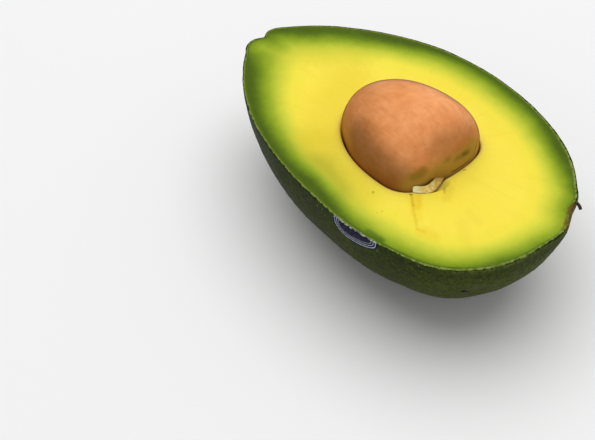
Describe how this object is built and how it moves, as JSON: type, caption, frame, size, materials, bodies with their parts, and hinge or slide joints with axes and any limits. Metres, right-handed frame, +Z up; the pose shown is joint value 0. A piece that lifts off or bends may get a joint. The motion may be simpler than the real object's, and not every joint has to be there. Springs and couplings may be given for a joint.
{
  "type": "halved avocado",
  "caption": "Avocado cut in half lengthways, lying on its round back with the cut face up and the stone still seated in the flesh.",
  "frame": {"origin": "on the surface that the half lies on, under the middle of its bounding box", "axes": "+X along the fruit to its blossom end, -X to its stem end, +Z up out of the cut face"},
  "size_m": [0.112, 0.0676, 0.049],
  "materials": {
    "skin": "dark green, finely pebbled, slightly waxy",
    "flesh": "moist and smooth, yellow in the middle and green under the skin",
    "stone": "smooth brown, satin",
    "seed_coat": "pale, moist and thin",
    "dried_stub": "dark and dry",
    "label": "printed paper, satin"
  },
  "bodies": {
    "root": {"skin": "skin", "flesh": "flesh", "stone": "stone", "seed_coat_scrap": "seed_coat", "style_stub": "dried_stub", "label": "label"}
  },
  "joints": []
}
